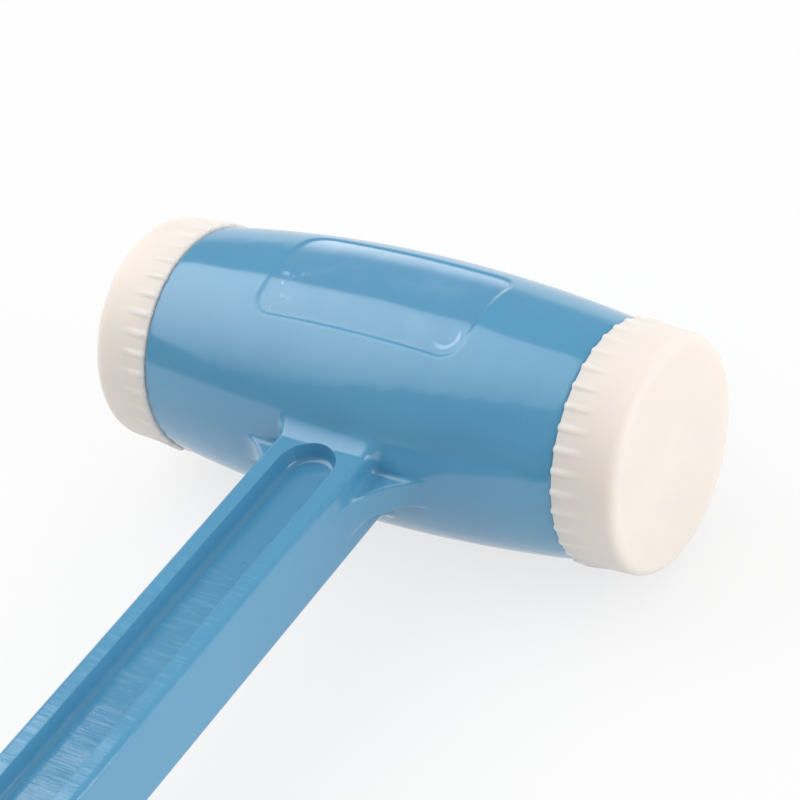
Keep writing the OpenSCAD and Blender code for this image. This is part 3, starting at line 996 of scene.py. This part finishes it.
def grip_rubber():
    f = new_finish("matt_black_rubber")
    grain = f.noise(1400, 3)
    broad = f.noise(60, 3)
    tone = f.mix(f.ramp(broad, 0.3, 0.75), colour(32, 32, 34), colour(46, 46, 48))
    tone = f.mix(f.ramp(grain, 0.6, 0.9) * 0.3, tone, colour(78, 78, 80))
    rough = f.ramp(broad, 0.2, 0.8, 0.52, 0.68)
    normal = f.bump(grain, 0.05 * MM, 0.6)
    return f.finish(f.surface(Base_Color=tone, Roughness=rough, Normal=normal, IOR=1.5))


def turned_steel():
    f = new_finish("turned_bright_steel")
    lines = f.noise(1.0, 3, 0.6, f.moved(scale=(4000, 30, 30)))
    tone = f.mix(f.ramp(f.noise(90, 2), 0.3, 0.7), colour(176, 178, 182), colour(196, 197, 200))
    rough = f.ramp(lines, 0.2, 0.8, 0.22, 0.4)
    normal = f.bump(lines, 0.01 * MM, 0.4)
    return f.finish(f.surface(Base_Color=tone, Metallic=1.0, Roughness=rough, Normal=normal))


def pad_elastomer():
    f = new_finish("dark_grey_elastomer")
    grain = f.noise(1100, 2)
    tone = f.mix(f.ramp(grain, 0.35, 0.75), colour(60, 60, 63), colour(76, 76, 80))
    normal = f.bump(grain, 0.03 * MM, 0.5)
    rough = f.ramp(grain, 0.2, 0.8, 0.6, 0.75)
    return f.finish(f.surface(Base_Color=tone, Roughness=rough, Normal=normal, IOR=1.5))


def dress(piece, material):
    piece.data.materials.clear()
    piece.data.materials.append(material)


# The studio

FLOOR_SIZE = 6
FLOOR_PALENESS = 0.75
FLOOR_GLEAM = 0.78

# The room: its light from the front and from above, and what reflections see of it
ROOM_FRONT = 0.32
ROOM_ABOVE = 0.95
ROOM_UP = (0, 0.5, 0.87)
ROOM_TURNS = (-0.2, 0.8)
ROOM_SHOWN = 0.28
ROOM_GLOW = 0.72
ROOM_GLOW_LOW = (0.02, 0.3)
ROOM_GLOW_BEHIND = (0.1, 0.4)

# The left softbox leans over the hammer: its plane, and its edges across and along that plane
SOFTBOX_BACK = Vector((-0.647, 0, 0.762))
SOFTBOX_RISE = Vector((0.762, 0, 0.647))
SOFTBOX_AWAY = 1.3
SOFTBOX_CORNERS = ((-0.69, -1.61), (1.2, -0.64), (-0.69, 0.52), (1.2, 0.52))
SOFTBOX_HOT_SPOT = (-0.2, 0.05)
SOFTBOX_REACH = 2.2
SOFTBOX_LIGHT = 2.4

# The right softbox faces the right striking surface
RIGHT_BOX_PLACE = HEAD + Vector((1.1, 0, 0.4))
RIGHT_BOX_BACK = Vector((1, 0, 0))
RIGHT_BOX_W = 0.9
RIGHT_BOX_H = 0.8
RIGHT_BOX_POWER = 5

# The camera that fits the photograph
LENS = 123.1
SENSOR = 36
CAMERA_PLACE = (0.282494, -0.199509, 0.374710)
CAMERA_RIGHT = Vector((0.8344623, 0.52032991, -0.18146473))
CAMERA_UP = Vector((-0.2170124, 0.61297645, 0.75971409))
CAMERA_BACK = Vector((0.50653557, -0.59457267, 0.62442378))


def pale_floor():
    """Pale paper that the camera, and reflections, see a good deal paler than its own shade."""
    f = new_finish("pale_floor")
    tone = f.mix(f.ramp(f.noise(6, 2), 0.3, 0.7), (0.84, 0.84, 0.84, 1), (0.86, 0.86, 0.86, 1))
    paper = f.add("BsdfDiffuse", {}, {"Color": tone})
    white = f.add("Emission", {}, {"Color": WHITE, "Strength": 1.0})
    share = f.ray("Camera") * FLOOR_PALENESS + f.ray("Glossy") * FLOOR_GLEAM
    return f.finish(f.add("MixShader", {}, {0: share, 1: paper, 2: white}))


def on_softbox(rise, across):
    return HEAD + SOFTBOX_BACK * SOFTBOX_AWAY + SOFTBOX_RISE * rise + Vector((0, across, 0))


def softbox_cloth():
    """White cloth lit from behind, brightest at the hot spot."""
    f = new_finish("softbox_cloth")
    away = f.length(f.moved(tuple(-on_softbox(*SOFTBOX_HOT_SPOT))))
    glow = f.mix(f.ramp(away, 0, SOFTBOX_REACH), WHITE, BLACK)
    return f.finish(f.add("Emission", {}, {"Color": glow, "Strength": SOFTBOX_LIGHT}))


def hang_left_softbox():
    clear_selection()
    bpy.ops.mesh.primitive_plane_add(size=1, location=(0, 0, 0))
    softbox = name_piece("left_softbox")
    for point, corner in zip(softbox.data.vertices, SOFTBOX_CORNERS):
        point.co = on_softbox(*corner)
    dress(softbox, softbox_cloth())
    softbox.visible_camera = False


def hang_right_softbox():
    lamp = bpy.data.lights.new("right_softbox", "AREA")
    lamp.shape = "RECTANGLE"
    lamp.size = RIGHT_BOX_W
    lamp.size_y = RIGHT_BOX_H
    lamp.energy = RIGHT_BOX_POWER
    lamp.spread = math.pi
    box = bpy.data.objects.new("right_softbox", lamp)
    aim = RIGHT_BOX_BACK.to_track_quat("Z", "Y").to_matrix().to_4x4()
    box.matrix_world = Matrix.Translation(RIGHT_BOX_PLACE) @ aim
    bpy.context.scene.collection.objects.link(box)


def hang_backdrop():
    """White for the camera; for reflections white low behind the hammer; its light comes from above."""
    f = Finish(bpy.data.worlds.new("studio"), "World", "Generated")
    glow = f.ramp(f.part("Z"), *ROOM_GLOW_LOW, ROOM_GLOW, 0) * f.ramp(f.part("Y"), *ROOM_GLOW_BEHIND)
    above = f.add("VectorMath", {"operation": "DOT_PRODUCT"}, {0: f.place, 1: ROOM_UP}, "Value")
    light = f.ramp(above, *ROOM_TURNS, ROOM_FRONT, ROOM_ABOVE)
    room = f.add("Background", {}, {"Color": WHITE, "Strength": light})
    shown = f.add("Background", {}, {"Color": WHITE, "Strength": glow + ROOM_SHOWN})
    white = f.add("Background", {}, {"Color": WHITE, "Strength": 1.0})
    unseen = f.add("MixShader", {}, {0: f.ray("Glossy"), 1: room, 2: shown})
    seen = f.add("MixShader", {}, {0: f.ray("Camera"), 1: unseen, 2: white})
    bpy.context.scene.world = f.finish(seen)


def set_studio():
    clear_selection()
    bpy.ops.mesh.primitive_plane_add(size=FLOOR_SIZE, location=(0, 0, 0))
    floor = name_piece("studio_floor")
    dress(floor, pale_floor())
    hang_left_softbox()
    hang_right_softbox()
    hang_backdrop()
    bpy.context.scene.view_settings.view_transform = "Standard"


def set_camera():
    lens = bpy.data.cameras.new("photo_camera")
    lens.sensor_width = SENSOR
    lens.lens = LENS
    lens.clip_start = 0.01
    camera = bpy.data.objects.new("photo_camera", lens)
    turn = Matrix((CAMERA_RIGHT, CAMERA_UP, CAMERA_BACK)).transposed().to_4x4()
    camera.matrix_world = Matrix.Translation(CAMERA_PLACE) @ turn
    bpy.context.scene.collection.objects.link(camera)
    bpy.context.scene.camera = camera


# Putting the hammer together

def place_piece(piece, body, node, material):
    dress(piece, material)
    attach(piece, body)
    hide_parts(node)


set_camera()
nylon = white_nylon()
steel = turned_steel()
elastomer = pad_elastomer()
place_piece(make_casting(), "hammer", "hammer_body", blue_enamel())
place_piece(make_film(), "hammer", "label_film", clear_film())
left_face = make_face("left_nylon_face", -1, LEFT_HOME_TURN)
place_piece(left_face, "left_face", "left_face", nylon)
right_face = make_face("right_nylon_face", 1, RIGHT_HOME_TURN)
place_piece(right_face, "right_face", "right_face", nylon)
place_piece(make_grip(), "hammer", "rubber_grip", grip_rubber())
place_piece(make_shot(), "shot", "steel_shot", steel)
for node in ("shot_canister", "left_canister_cap", "right_canister_cap"):
    dress(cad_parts[node], steel)
for node in ("left_cushion_pad", "right_cushion_pad"):
    dress(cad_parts[node], elastomer)
set_studio()
